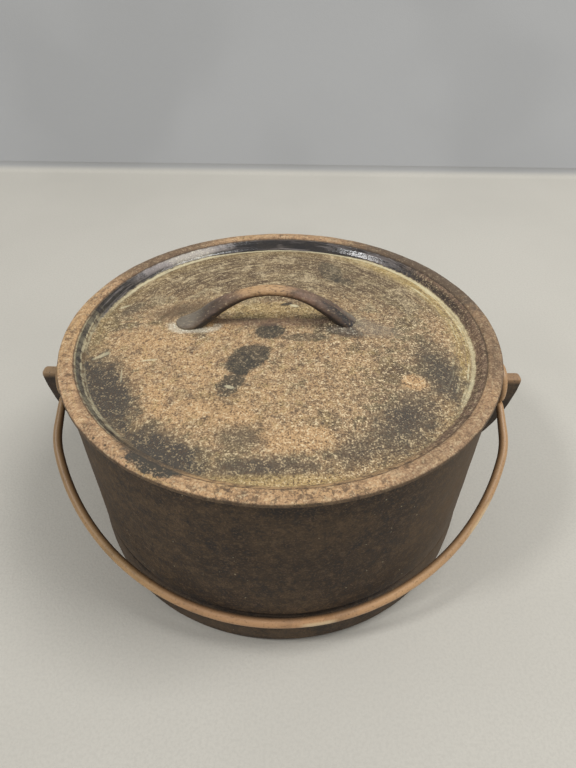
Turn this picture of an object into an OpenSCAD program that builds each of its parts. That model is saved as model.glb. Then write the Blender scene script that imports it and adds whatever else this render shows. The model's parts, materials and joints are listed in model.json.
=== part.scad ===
// Cast iron cooking pot with a lift-off lid and a swinging wire bail.
// The origin is on the pot's axis, on the surface that it stands on. +Z is up.
// The ears stand at -X and +X, and the bail hangs towards -Y.

/* [Pot] */
// Height of the pot from the floor to its rim
pot_h = 136; // [110:1:180]
// Outer diameter of the wall at the rim
mouth_d = 256.8; // [220:0.2:300]
// How much narrower the wall is at its foot, just above the crease
wall_taper = 4.2; // [1:0.2:14]
// Thickness of the wall at the rim
wall_rim = 4.2; // [3.4:0.1:6]
// Thickness of the wall near the bottom
wall_foot = 5; // [4:0.1:8]
// Thickness of the bottom
base_t = 4.6; // [3.6:0.2:8]
// Radius of the corner between the wall and the bottom, inside
inner_corner_r = 17; // [8:1:26]
// Rounding of the rim's two edges
rim_edge_r = 1.1; // [0.4:0.1:1.6]

/* [Foot band] */
// How much wider the band is at its fullest than the foot of the wall
band_swell = 0.6; // [0:0.2:4]
// Height of the crease between the wall and the band
crease_h = 32; // [24:0.5:44]
// Depth of the crease, measured from the wall
crease_depth = 1.5; // [0.6:0.1:2.4]
// Height that the crease takes up
crease_w = 5; // [3:0.5:8]
// Radius of the corner between the band and the bottom
foot_corner_r = 4.5; // [3:0.5:14]

/* [Ears] */
// How far an ear reaches out from the wall
ear_reach = 27.2; // [23:0.1:36]
// Drop from the rim to the flat top of an ear
ear_drop = 30; // [22:0.5:40]
// Height of an ear where it meets the wall
ear_h = 66; // [50:1:74]
// Thickness of an ear
ear_t = 7.5; // [6:0.5:11]
// How far the outer edge bows out from a straight line
ear_bow = 6; // [3:0.5:8]
// Radius of the fillet between an ear and the wall
ear_fillet_r = 3; // [1:0.5:6]
// Diameter of the hole that the bail's eye passes through
ear_hole_d = 9.4; // [8:0.2:11]

/* [Lid] */
// How far the lid reaches past the pot's rim
lid_overhang = 2.6; // [1:0.2:6]
// Thickness of the lid's plate
lid_t = 3.8; // [3:0.1:5]
// Width of the slope between the plate and the raised rim
slope_w = 7; // [5:0.5:12]
// Depth of the plate's edge below the rim's outer edge
plate_drop = 6.2; // [4:0.1:9]
// Rise of the plate from its edge to its centre
dome_rise = 7.6; // [3:0.1:12]
// Width of the raised rim's top
lid_rim_w = 9; // [6:0.5:12]
// Height of the rim's side, where it overhangs the pot
lid_edge_t = 2.8; // [2:0.1:4]
// How far the rim's top is crowned above its outer edge
rim_crown = 0.9; // [0.3:0.1:1.5]

/* [Lid handle] */
// Place of the handle's middle along the ears' line
handle_x = -6; // [-20:1:20]
// Place of the handle's middle across the ears' line
handle_y = 8; // [-20:1:20]
// Angle between the handle and the ears' line
handle_turn = 1; // [-20:0.5:20]
// Distance between the centres of the handle's two roots
handle_span = 90; // [70:1:110]
// Height of the handle's centre line above the plate
handle_rise = 22; // [18:0.2:30]
// Width of the handle's grip
grip_w = 8.4; // [6:0.2:11]
// Thickness of the handle's grip
grip_t = 6.6; // [5:0.2:9]
// Width of a foot where it spreads on the plate
foot_w = 15.5; // [10:0.5:18]
// Thickness of the handle at its roots
root_t = 9; // [7:0.2:10]
// Length of the foot beyond the root's centre
foot_run = 13; // [9:0.5:18]
// Height of the low rib on the plate between the feet
rib_h = 0.9; // [0.4:0.1:1.6]
// Width of that rib
rib_w = 7; // [4:0.5:10]

/* [Bail] */
// Diameter of the wire
wire_d = 5.6; // [4.4:0.1:6.4]
// Diameter of the wire where it is bent into the eyes
eye_wire_d = 4.8; // [4:0.1:5.4]
// Distance from the wall to the middle of an eye's wire
eye_out = 12.7; // [11:0.1:18]
// Radius of an eye, to the middle of the wire
eye_r = 12; // [11:0.25:14]
// Drop from the top of an ear to the middle of the eye
eye_drop = 6; // [4.5:0.5:8]
// Length of the straight leg between the shoulder and the neck
leg_run = 15.6; // [1:0.2:20]
// Radius of the bend at each shoulder
shoulder_r = 50; // [30:1:80]
// Radius of the bend between a straight leg and its eye
neck_r = 8; // [6:0.5:12]
// Angle by which the wire stops short of closing the eye
eye_gap = 11.5; // [8:0.5:30]

/* [Fits] */
// Gap between the lid and the rim that it sits on
seat_gap = 0.2; // [0.05:0.05:0.3]
// Gap between the hanging bail and the band that it leans on
lean_gap = 0.3; // [0.2:0.1:1]
// Room between the bow and the lid's edge as the bail swings past it
bow_play = 7.5; // [3:0.1:12]
// Least play between the lid's dished plate and the mouth
dish_play = 1.4; // [0.6:0.1:3]

/* [Hidden] */
iron = [0.24, 0.20, 0.17];
rusty_iron = [0.48, 0.36, 0.25];
steel = [0.55, 0.40, 0.29];
$fn = 96;
tiny = 0.01;

// Steps along a round stretch of an outline
ARC_STEPS = 12;

// Points of an arc about [x, y], from one angle to another
function arc(x, y, r, from, to, steps = ARC_STEPS) =
    [for (i = [0:steps]) let (a = from + (to - from) * i / steps) [x + r * cos(a), y + r * sin(a)]];

// Smooth step from 0 to 1 as t goes from 0 to 1
function ease(t) = let (u = min(max(t, 0), 1)) u * u * (3 - 2 * u);

function mix(a, b, t) = a + (b - a) * t;

// Pot outline

mouth_r = mouth_d / 2;
waist_r = mouth_r - wall_taper / 2;
band_r = waist_r + band_swell / 2;
inner_mouth_r = mouth_r - wall_rim;
inner_foot_r = waist_r - wall_foot;
crease_r = waist_r - crease_depth;
crease_top = crease_h + crease_w / 2;
crease_bottom = crease_h - crease_w / 2;
// How far the band's ends draw in from its fullest line
band_draw = 0.7;

// Outer radius of the wall at a height above the crease
function wall_r(z) = mix(waist_r, mouth_r, (z - crease_top) / (pot_h - crease_top));

// Outer radius of the band, which swells between its two ends
function band_edge(z) = band_r
    - band_draw * pow((z - (foot_corner_r + crease_bottom) / 2) / ((crease_bottom - foot_corner_r) / 2), 2);

// The crease: a smooth hollow above, a sharper shoulder below
function crease_edge(t) = t < 0.4
    ? mix(band_r - band_draw, crease_r, ease(t / 0.4))
    : mix(crease_r, waist_r, ease((t - 0.4) / 0.6));

band_steps = 6;
pot_outside = concat(
    [[0, 0]],
    arc(band_r - band_draw - foot_corner_r, foot_corner_r, foot_corner_r, -90, 0),
    [for (i = [1:band_steps - 1])
        let (z = mix(foot_corner_r, crease_bottom, i / band_steps)) [band_edge(z), z]],
    [for (i = [0:ARC_STEPS]) [crease_edge(i / ARC_STEPS), crease_bottom + crease_w * i / ARC_STEPS]],
    arc(mouth_r - rim_edge_r, pot_h - rim_edge_r, rim_edge_r, 0, 90, 4)
);
pot_inside = concat(
    arc(inner_mouth_r + rim_edge_r, pot_h - rim_edge_r, rim_edge_r, 90, 180, 4),
    arc(inner_foot_r - inner_corner_r, base_t + inner_corner_r, inner_corner_r, 0, -90),
    [[0, base_t]]
);

// Ear outlines

ear_top = pot_h - ear_drop;
ear_bottom = ear_top - ear_h;
ear_root_x = wall_r(ear_bottom) - tiny;
ear_tip_x = wall_r(ear_top) + ear_reach;
ear_nose_r = 2.5;
ear_corner_r = 2.2;
eye_x = wall_r(ear_top) + eye_out;
eye_h = ear_top - eye_drop;
// How far the ear's root reaches into the wall
ear_bury = 2;
// The eye's lowest wire passes through the middle of the hole
ear_hole_z = eye_h - sqrt(eye_r * eye_r - ear_t * ear_t / 12);

// The outer edge from the tip down to the wall, a straight line that bows out
function ear_edge(t) =
    let (dx = ear_root_x - ear_tip_x, dz = ear_bottom - ear_top + ear_nose_r)
    let (l = norm([dx, dz]), b = ear_bow * sin(180 * t))
    [ear_tip_x + dx * t - b * dz / l, ear_top - ear_nose_r + dz * t + b * dx / l];

// The outline ends one step further down the same curve, inside the wall
EDGE_STEPS = 12;
ear_foot = ear_edge((EDGE_STEPS + 1) / EDGE_STEPS);
ear_side = concat(
    [[inner_mouth_r, ear_top]],
    arc(ear_tip_x - ear_nose_r, ear_top - ear_nose_r, ear_nose_r, 90, 0, 5),
    [for (i = [1:EDGE_STEPS]) ear_edge(i / EDGE_STEPS)],
    [ear_foot, [ear_foot[0], ear_top - ear_bury]]
);

// Half of the ear seen from above, x from the wall: flared there, with a rounded corner at the tip
ear_half = concat(
    [[-2 * ear_bury, 0], [-2 * ear_bury, ear_t / 2 + ear_fillet_r]],
    arc(ear_fillet_r, ear_t / 2 + ear_fillet_r, ear_fillet_r, 180, 270, 6),
    arc(ear_reach - ear_corner_r, ear_t / 2 - ear_corner_r, ear_corner_r, 90, 0, 5),
    [[ear_reach, 0]]
);
// Angle by which the wall leans out
wall_lean = atan2(mouth_r - waist_r, pot_h - crease_top);

// Lid outline

lid_r = mouth_r + lid_overhang;
seat_z = pot_h + seat_gap;
lid_top_z = seat_z + lid_edge_t;
plate_edge_z = lid_top_z - plate_drop;
rim_inner_r = lid_r - lid_rim_w;
plate_r = rim_inner_r - slope_w;
lid_edge_r = 1.2;
dome_r = (plate_r * plate_r + dome_rise * dome_rise) / (2 * dome_rise);
dome_steps = 14;
// The dish's outer wall stays inside the mouth
dish_top_r = inner_mouth_r - dish_play;

// Height of the plate's top at a distance from the axis
function plate_z(r) = plate_edge_z + sqrt(dome_r * dome_r - r * r) - (dome_r - dome_rise);

// The rim's top, a shallow crown between its two edges
function crown(t) = lid_top_z + rim_crown * sin(180 * t);

// The lid's inner slope, from the plate up to the rim's inner edge
function slope(t) = [mix(plate_r, rim_inner_r, t), mix(plate_edge_z, lid_top_z - lid_edge_r / 2, ease(t))];

lid_upper = concat(
    [for (i = [0:dome_steps]) let (r = plate_r * i / dome_steps) [r, plate_z(r)]],
    [for (i = [1:ARC_STEPS]) slope(i / ARC_STEPS)],
    [for (i = [1:7]) [mix(rim_inner_r, lid_r - lid_edge_r, i / 8), crown(i / 8)]],
    arc(lid_r - lid_edge_r, lid_top_z - lid_edge_r, lid_edge_r, 90, 0, 4)
);

// The underside follows the upper side at the plate's thickness
function under_slope(t) =
    [mix(dish_top_r, plate_r - lid_t / 2, t), mix(seat_z, plate_edge_z - lid_t, ease(t))];

lid_lower = concat(
    arc(lid_r - lid_edge_r / 2, seat_z + lid_edge_r / 2, lid_edge_r / 2, 0, -90, 3),
    [for (i = [0:ARC_STEPS]) under_slope(i / ARC_STEPS)],
    [for (i = [dome_steps - 1:-1:0]) let (r = plate_r * i / dome_steps) [r, plate_z(r) - lid_t]]
);

// Handle, a loft of rounded sections along an arch

HANDLE_RINGS = 48;
HANDLE_SIDES = 20;
handle_half = handle_span / 2;
handle_end = handle_half + foot_run;
// The arch is a parabola up to here, and then flattens into the foot
arch_stop = handle_half - 5;
// The foot's middle ends this far inside the plate
foot_sink = 1.4;
// Half thickness at the foot's very end
foot_tip_t = 1.3;

function arch_z(x) = handle_rise * (1 - pow(x / handle_half, 2));
function arch_slope(x) = -2 * handle_rise * x / pow(handle_half, 2);

// Height of the handle's centre line above the plate, x counted from its middle
function handle_z(x) =
    let (d = abs(x), w = handle_end - arch_stop, t = (d - arch_stop) / w)
    d <= arch_stop ? arch_z(d) :
    arch_z(arch_stop) * (2 * t * t * t - 3 * t * t + 1)
        + arch_slope(arch_stop) * w * (t * t * t - 2 * t * t + t)
        - foot_sink * (3 * t * t - 2 * t * t * t);

// Share of the way from the grip to the root, and from the root to the tip
function to_root(x) = ease((abs(x) - handle_half * 0.25) / (handle_half * 0.75));
function to_tip(x) = pow(min(max((abs(x) - arch_stop) / (handle_end - arch_stop), 0), 1), 2);

function half_width(x) = mix(mix(grip_w, foot_w, to_root(x)), foot_w * 0.45, to_tip(x)) / 2;
function half_thick(x) = mix(mix(grip_t, root_t, to_root(x)) / 2, foot_tip_t, to_tip(x));

// Direction of the centre line, as an angle in the handle's upright plane
function handle_tilt(x) = atan2(handle_z(x + tiny) - handle_z(x - tiny), 2 * tiny);

function handle_ring(x) =
    let (a = handle_tilt(x), w = half_width(x), h = half_thick(x))
    [for (i = [0:HANDLE_SIDES - 1])
        let (b = 360 * i / HANDLE_SIDES, up = h * sin(b))
        [x - up * sin(a), w * cos(b), handle_z(x) + up * cos(a)]];

// Rings stand closer together towards the feet
function ring_x(i) = handle_end * sin(180 * i / HANDLE_RINGS - 90);

handle_points = [for (i = [0:HANDLE_RINGS]) each handle_ring(ring_x(i))];
handle_faces = concat(
    [[for (j = [0:HANDLE_SIDES - 1]) j]],
    [for (i = [0:HANDLE_RINGS - 1], j = [0:HANDLE_SIDES - 1])
        let (a = i * HANDLE_SIDES, b = a + HANDLE_SIDES, k = (j + 1) % HANDLE_SIDES)
        [a + j, b + j, b + k, a + k]],
    [[for (j = [HANDLE_SIDES - 1:-1:0]) HANDLE_RINGS * HANDLE_SIDES + j]]
);

// Bail, as a bent wire: bow, shoulders, legs, necks and eyes

wire_r = wire_d / 2;
eye_wire_r = eye_wire_d / 2;
neck_drop = sqrt(eye_r * eye_r + 2 * eye_r * neck_r);
shoulder_drop = neck_drop + leg_run;
shoulder_x = eye_x - shoulder_r;
// From the eyes' axis to the middle of the bow, which clears the lid's edge on its way over
bail_reach = norm([lid_r, lid_top_z + rim_crown - eye_h]) + bow_play + wire_r;
// The bow's circle meets both shoulders' circles, and its lowest point is at the bail's reach
crown_drop = bail_reach - shoulder_r - shoulder_drop;
bow_r = shoulder_r + (shoulder_x * shoulder_x + crown_drop * crown_drop) / (2 * crown_drop);
shoulder_bend = acos(shoulder_x / (bow_r - shoulder_r));
bow_drop = bail_reach - bow_r;
bow_half = 90 - shoulder_bend;
neck_turn = acos(neck_r / (eye_r + neck_r));
eye_start = -neck_turn;
eye_turn = 360 - (90 - neck_turn) - eye_gap;
// Two stretches of wire stop short of each other by twice this gap
stretch_gap = 0.1;
// A ball a hair larger than the wire fills the place between them
ball_extra = 0.03;
// Height at which the bow leans on the top of the band, and the pot's radius there
lean_z = eye_h - sqrt(pow(bail_reach, 2) - pow(band_r - band_draw + wire_r + lean_gap, 2));
lean_r = max(band_edge(min(lean_z, crease_bottom)), lean_z + wire_r > crease_top ? wall_r(lean_z + wire_r) : 0);
// Angle below level at which it leans
lean_angle = acos((lean_r + wire_r + lean_gap) / bail_reach);

// Modules

module ear() {
    difference() {
        intersection() {
            rotate([90, 0, 0])
                linear_extrude(height = ear_t + 4 * ear_fillet_r, center = true)
                    polygon(ear_side);
            translate([wall_r(ear_top), 0, ear_top])
                rotate([0, wall_lean, 0])
                    linear_extrude(height = 3 * ear_h, center = true) {
                        polygon(ear_half);
                        mirror([0, 1])
                            polygon(ear_half);
                    }
        }
        translate([eye_x, 0, ear_hole_z])
            rotate([90, 0, 0])
                cylinder(h = ear_t + 4 * ear_fillet_r, d = ear_hole_d, center = true);
    }
}

// Pot, cast in one with its foot band and its two ears
module pot() {
    color(iron) {
        rotate_extrude()
            polygon(concat(pot_outside, pot_inside));
        difference() {
            union() {
                ear();
                mirror([1, 0, 0])
                    ear();
            }
            cylinder(h = pot_h, r = wall_r(ear_bottom) - ear_bury);
        }
    }
}

module handle() {
    translate([handle_x, handle_y, plate_z(norm([handle_x, handle_y]))])
        rotate([0, 0, handle_turn])
            polyhedron(points = handle_points, faces = handle_faces, convexity = 6);
}

// Low rib on the plate, under the handle's arch
module handle_rib() {
    intersection() {
        rotate_extrude()
            polygon(concat(
                [for (i = [0:dome_steps]) let (r = plate_r * i / dome_steps) [r, plate_z(r) + rib_h]],
                [[plate_r, plate_edge_z - lid_t / 2], [0, plate_edge_z - lid_t / 2]]
            ));
        translate([handle_x, handle_y, plate_edge_z])
            rotate([0, 0, handle_turn])
                cube([handle_span, rib_w, 2 * dome_rise + 2 * lid_t], center = true);
    }
}

// Lid, cast in one with its raised rim and its handle
module lid() {
    color(rusty_iron) {
        rotate_extrude()
            polygon(concat(lid_upper, lid_lower));
        handle_rib();
        handle();
    }
}

// A length of round wire bent about the Z axis, lying in the XY plane
module bend(r, wire, from, turn) {
    short = stretch_gap / r * 180 / PI;
    rotate([0, 0, from + short])
        rotate_extrude(angle = turn - 2 * short)
            translate([r, 0])
                circle(r = wire);
}

// The ball that joins two stretches of wire
module wire_ball(wire) {
    sphere(r = wire + ball_extra);
}

// One end of the bail: shoulder, straight leg, neck and eye, hanging straight down
module bail_end() {
    translate([shoulder_x, 0, -shoulder_drop])
        rotate([90, 0, 0]) {
            bend(shoulder_r, wire_r, -shoulder_bend, shoulder_bend);
            rotate([0, 0, -shoulder_bend])
                translate([shoulder_r, 0, 0])
                    wire_ball(wire_r);
        }
    translate([eye_x, 0, -shoulder_drop])
        wire_ball(wire_r);
    translate([eye_x, 0, stretch_gap - shoulder_drop])
        cylinder(h = shoulder_drop - neck_drop - 2 * stretch_gap, r1 = wire_r, r2 = eye_wire_r);
    translate([eye_x, 0, 0])
        rotate([90, 0, 90]) {
            translate([0, -neck_drop])
                wire_ball(eye_wire_r);
            translate([neck_r, -neck_drop])
                bend(neck_r, eye_wire_r, 90 + (90 - neck_turn), neck_turn);
            rotate([0, 0, eye_start])
                translate([eye_r, 0, 0])
                    wire_ball(eye_wire_r);
            bend(eye_r, eye_wire_r, eye_start, eye_turn);
        }
}

// Bail, one bent wire that swings about the line through its two eyes
module bail() {
    color(steel)
        translate([0, 0, eye_h])
            rotate([lean_angle - 90, 0, 0]) {
                translate([0, 0, -bow_drop])
                    rotate([90, 0, 0])
                        bend(bow_r, wire_r, -90 - bow_half, 2 * bow_half);
                bail_end();
                mirror([1, 0, 0])
                    bail_end();
            }
}

pot();
lid();
bail();
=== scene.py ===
"""Old cast iron pot with a dished lid and a wire bail, laid out as an add-on and run as a script."""

import json
import math

import bpy
import numpy as np
from mathutils import Euler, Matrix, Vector


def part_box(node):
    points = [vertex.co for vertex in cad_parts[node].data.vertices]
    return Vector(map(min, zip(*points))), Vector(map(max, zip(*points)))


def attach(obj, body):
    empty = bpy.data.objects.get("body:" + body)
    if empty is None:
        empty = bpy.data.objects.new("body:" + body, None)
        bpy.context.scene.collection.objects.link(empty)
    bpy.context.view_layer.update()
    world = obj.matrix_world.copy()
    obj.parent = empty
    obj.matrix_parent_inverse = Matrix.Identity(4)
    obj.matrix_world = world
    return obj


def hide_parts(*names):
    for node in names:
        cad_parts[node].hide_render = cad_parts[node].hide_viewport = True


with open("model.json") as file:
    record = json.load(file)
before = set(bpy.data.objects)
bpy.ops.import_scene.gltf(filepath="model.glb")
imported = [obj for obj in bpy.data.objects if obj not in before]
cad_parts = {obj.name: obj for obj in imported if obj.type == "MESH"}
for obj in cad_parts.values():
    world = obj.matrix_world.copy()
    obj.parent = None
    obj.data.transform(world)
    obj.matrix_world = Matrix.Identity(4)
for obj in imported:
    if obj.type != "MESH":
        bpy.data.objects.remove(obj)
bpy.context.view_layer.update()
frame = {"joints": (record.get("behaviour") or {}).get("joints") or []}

bl_info = {
    "name": "Cast Iron Pot",
    "version": (1, 0, 0),
    "blender": (4, 5, 0),
    "location": "3D View > Sidebar > Pot",
    "description": "Makes an old cast iron pot, its lid and its bail, with rust, grain and stains",
    "category": "Add Mesh",
}

MM = 0.001
POT_LOW, POT_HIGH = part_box("pot")
LID_LOW, LID_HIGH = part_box("lid")
# The hinge line through the bail's two eyes is this high
EYE_HEIGHT = next(j["pos_m"][2] for j in frame["joints"] if j["name"] == "bail_swing")


def srgb(red, green, blue):
    """Colour as the scene needs it, from the 0 to 255 values that a paint chart gives."""
    parts = (c / 255 for c in (red, green, blue))
    return tuple(c / 12.92 if c <= 0.04045 else ((c + 0.055) / 1.055) ** 2.4 for c in parts)


def length(name, description, default):
    """Property that holds a length in metres."""
    return bpy.props.FloatProperty(name=name, description=description, default=default, unit="LENGTH", precision=5)


def colour(name, description, default):
    """Property that holds a colour."""
    return bpy.props.FloatVectorProperty(
        name=name, description=description, default=default, subtype="COLOR", size=3, min=0, max=1)


# Sizes and colours


class PotSizes(bpy.types.PropertyGroup):
    """Sizes of the pot and its ears."""
    height: length("Height", "From the floor to the pot's rim", POT_HIGH.z)
    mouth: length("Mouth radius", "Outer radius of the wall at the rim", POT_HIGH.y)
    waist: length("Waist radius", "Outer radius of the wall just above the crease", 126.3 * MM)
    band: length("Band radius", "Outer radius of the foot band at its fullest", 126.6 * MM)
    wall_rim: length("Wall at the rim", "Thickness of the wall at the rim", 4.2 * MM)
    wall_foot: length("Wall at the foot", "Thickness of the wall near the bottom", 5 * MM)
    base: length("Bottom", "Thickness of the bottom", 4.6 * MM)
    inner_corner: length("Inner corner", "Radius between the wall and the bottom, inside", 17 * MM)
    foot_corner: length("Foot corner", "Radius between the band and the bottom, outside", 4.5 * MM)
    crease_low: length("Crease foot", "Height at which the crease starts", 29.5 * MM)
    crease_high: length("Crease top", "Height at which the crease ends", 34.5 * MM)
    crease_depth: length("Crease depth", "How deep the crease is", 1.5 * MM)
    ear_tip: length("Ear tip", "Distance from the axis to an ear's tip", POT_HIGH.x)
    ear_top: length("Ear top", "Height of an ear's flat top", 106 * MM)
    ear_foot: length("Ear foot", "Height at which an ear's edge runs into the wall", 40 * MM)
    ear_thickness: length("Ear thickness", "Thickness of an ear", 7.5 * MM)
    ear_bow: length("Ear bow", "How far an ear's outer edge bows out", 6 * MM)
    ear_corner: length("Ear corner", "Radius of the corners at an ear's tip, seen from above", 2.2 * MM)
    ear_hole: length("Ear hole", "Radius of the hole that the bail's eye passes through", 4.7 * MM)
    ear_hole_x: length("Ear hole X", "Distance from the axis to the middle of an ear's hole", 140.48 * MM)
    ear_hole_z: length("Ear hole Z", "Height of the middle of an ear's hole", 88.2 * MM)


class LidSizes(bpy.types.PropertyGroup):
    """Sizes of the lid and its handle."""
    radius: length("Radius", "Outer radius of the lid", LID_HIGH.y)
    seat: length("Seat", "Height of the lid's underside over the pot's rim", 136.2 * MM)
    edge: length("Edge", "Height of the lid's side", 2.8 * MM)
    crown: length("Crown", "How far the rim's top rises over its edges", 0.9 * MM)
    rim_inner: length("Rim inside", "Radius of the rim's inner edge", 122 * MM)
    plate: length("Plate", "Radius of the plate", 115 * MM)
    drop: length("Drop", "Depth of the plate's edge below the rim's edge", 6.2 * MM)
    dome: length("Dome", "Rise of the plate from its edge to its middle", 7.6 * MM)
    thickness: length("Thickness", "Thickness of the plate", 3.8 * MM)
    dish: length("Dish", "Radius of the dish under the lid where it meets the seat", 122.8 * MM)
    handle_x: length("Handle X", "Place of the handle's middle along X", -6 * MM)
    handle_y: length("Handle Y", "Place of the handle's middle along Y", 8 * MM)
    handle_turn: bpy.props.FloatProperty(
        name="Handle turn", description="Angle between the handle and X", default=math.radians(1), unit="ROTATION")
    span: length("Handle span", "Distance between the middles of the handle's roots", 90 * MM)
    rise: length("Handle rise", "Height of the handle's middle over the plate", 22 * MM)
    grip_width: length("Grip width", "Width of the grip", 8.4 * MM)
    grip_thickness: length("Grip thickness", "Thickness of the grip", 6.6 * MM)
    foot_width: length("Foot width", "Width of a foot", 15.5 * MM)
    root_thickness: length("Root thickness", "Thickness of the handle at its roots", 9 * MM)
    foot_run: length("Foot run", "Length of the left foot beyond its root", 14 * MM)
    foot_run_right: length("Right foot run", "Length of the right foot beyond its root", 9.5 * MM)


class BailSizes(bpy.types.PropertyGroup):
    """Sizes of the bail."""
    wire: length("Wire radius", "Radius of the wire", 2.8 * MM)
    eye_wire: length("Eye wire radius", "Radius of the wire in the eyes", 2.4 * MM)
    eye: length("Eye radius", "Radius of an eye, to the middle of the wire", 12 * MM)
    eye_x: length("Eye X", "Distance from the axis to the middle of an eye", 140.48 * MM)
    reach: length("Reach", "Distance from the hinge line to the middle of the bow", 147.24 * MM)
    shoulder: length("Shoulder radius", "Radius of the bend at each shoulder", 50 * MM)
    leg: length("Leg", "Length of the straight leg between shoulder and neck", 15.6 * MM)
    neck: length("Neck radius", "Radius of the bend between a leg and its eye", 8 * MM)
    lean: bpy.props.FloatProperty(
        name="Lean", description="Angle below level at which the bail leans", default=math.radians(28.78),
        unit="ROTATION")
    gap: bpy.props.FloatProperty(
        name="Eye gap", description="Angle by which the wire stops short of closing an eye",
        default=math.radians(11.5), unit="ROTATION")


class PotColours(bpy.types.PropertyGroup):
    """Colours of the old iron."""
    tan: colour("Tan", "Dry rust on the lid", srgb(176, 146, 109))
    ochre: colour("Ochre", "The brightest rust on the lid", srgb(196, 158, 113))
    straw: colour("Straw", "Pale grains in the rust", srgb(228, 206, 166))
    olive: colour("Olive", "Old grease over rust", srgb(130, 114, 85))
    umber: colour("Umber", "Brown seasoned iron", srgb(92, 74, 56))
    mustard: colour("Mustard", "Yellow dust", srgb(182, 156, 100))
    soot: colour("Soot", "Baked soot", srgb(74, 69, 62))
    smoke: colour("Smoke", "Grey film on smooth places", srgb(124, 116, 103))
    # Colour of the painted sheen on the lid's slope
    painted_sheen: colour("Film", "Pale sheen on the slope", srgb(166, 156, 152))
    stain: colour("Stain", "Dark grease stains", srgb(68, 63, 53))
    black: colour("Black", "Glossy black iron on the lid's slope", srgb(40, 38, 39))
    cream: colour("Cream", "Pale dust where the plate meets the slope", srgb(216, 206, 170))
    # Also the colour of the painted highlight on the lid's slope
    chalk_and_highlight: colour("Chalk", "White bloom at the handle's foot", srgb(226, 219, 198))
    rim_tan: colour("Rim tan", "Rust on the lid's rim", srgb(185, 148, 111))
    rim_brown: colour("Rim brown", "Darker brown on the far side of the rim", srgb(98, 82, 67))
    wall: colour("Wall", "Dark seasoned iron of the wall", srgb(58, 46, 36))
    wall_light: colour("Wall light", "Rusty bloom on the wall", srgb(102, 84, 64))
    grip: colour("Grip", "Worn brown of the handle", srgb(128, 101, 84))
    bail: colour("Bail", "Thin even rust on the bail", srgb(182, 140, 100))
    bail_dark: colour("Bail dark", "Darker streaks on the bail", srgb(104, 78, 55))
    floor: colour("Floor", "Pale floor", srgb(203, 199, 189))
    backdrop: colour("Backdrop", "Grey cloth that rises behind the pot", srgb(172, 172, 171))


# Shapes


def arc(x, y, radius, start, end, steps):
    """Points of an arc about (x, y): centre plus radius times cosine and sine, from one angle to another in degrees."""
    a = np.radians(np.linspace(start, end, steps))
    return np.column_stack([x + radius * np.cos(a), y + radius * np.sin(a)])


def stretch(start, end, step):
    """Points of a straight line from start to end, about one step apart."""
    start, end = np.asarray(start, float), np.asarray(end, float)
    count = max(2, int(np.ceil(np.linalg.norm(end - start) / step)) + 1)
    return start + (end - start) * np.linspace(0, 1, count)[:, None]


def outline(*runs):
    """Joins runs of points and drops each point that repeats the one before it."""
    points = np.vstack(runs)
    step = np.linalg.norm(np.diff(points, axis=0), axis=1)
    return points[np.concatenate([[True], step > 1e-7])]


def ease(t):
    """Smooth step from 0 to 1: t squared times (3 - 2t), held at its ends."""
    t = np.clip(t, 0, 1)
    return t * t * (3 - 2 * t)


def mix(a, b, t):
    """Straight blend from a to b."""
    return a + (b - a) * t


def ripples(points, size, seed, waves=28):
    """Soft unevenness between about -1 and 1: a sum of plane waves in set random directions, near one wavelength."""
    draw = np.random.default_rng(seed)
    ways = draw.normal(size=(waves, 3))
    ways *= (2 * np.pi / size) * draw.uniform(0.6, 1.4, (waves, 1)) / np.linalg.norm(ways, axis=1)[:, None]
    return np.sin(points @ ways.T + draw.uniform(0, 2 * np.pi, waves)).sum(1) / math.sqrt(waves)


def add_piece(name, points, quads, triangles=()):
    """Makes a smooth mesh object from an array of points and arrays of corner numbers, faces outward."""
    quads = np.asarray(quads, np.int32).reshape(-1, 4)
    triangles = np.asarray(triangles, np.int32).reshape(-1, 3)
    mesh = bpy.data.meshes.new(name)
    mesh.vertices.add(len(points))
    mesh.vertices.foreach_set("co", np.asarray(points, np.float32).ravel())
    mesh.loops.add(quads.size + triangles.size)
    mesh.loops.foreach_set("vertex_index", np.concatenate([quads.ravel(), triangles.ravel()]))
    mesh.polygons.add(len(quads) + len(triangles))
    starts = np.concatenate([4 * np.arange(len(quads)), quads.size + 3 * np.arange(len(triangles))])
    mesh.polygons.foreach_set("loop_start", starts.astype(np.int32))
    mesh.polygons.foreach_set("use_smooth", np.ones(len(starts), bool))
    mesh.update(calc_edges=True)
    mesh.validate()
    piece = bpy.data.objects.new(name, mesh)
    bpy.context.scene.collection.objects.link(piece)
    return piece


def grid_quads(rows, columns, close_rows=False, close_columns=False):
    """Corner numbers of the quads of a grid of points, which may wrap round either way."""
    i = np.arange(rows if close_rows else rows - 1)[:, None]
    j = np.arange(columns if close_columns else columns - 1)[None, :]
    i2, j2 = (i + 1) % rows, (j + 1) % columns
    return np.stack([i * columns + j, i * columns + j2, i2 * columns + j2, i2 * columns + j], -1).reshape(-1, 4)


def lathe(profile, sides):
    """Turns a profile of (radius, height) round Z, from one point on the axis to another, with closed poles.

    Each point becomes a ring: radius times cosine, radius times sine, height.
    """
    a = np.linspace(0, 2 * np.pi, sides, endpoint=False)
    rings = profile[1:-1]
    ring_points = np.stack([
        rings[:, :1] * np.cos(a), rings[:, :1] * np.sin(a), np.broadcast_to(rings[:, 1:], (len(rings), sides)),
    ], -1).reshape(-1, 3)
    poles = np.array([[0, 0, profile[0, 1]], [0, 0, profile[-1, 1]]])
    low, high = len(ring_points), len(ring_points) + 1
    j = np.arange(sides)
    last = (len(rings) - 1) * sides
    fans = np.vstack([
        np.column_stack([np.full(sides, low), (j + 1) % sides, j]),
        np.column_stack([last + j, last + (j + 1) % sides, np.full(sides, high)]),
    ])
    return np.vstack([ring_points, poles]), grid_quads(len(rings), sides, close_columns=True), fans


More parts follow.
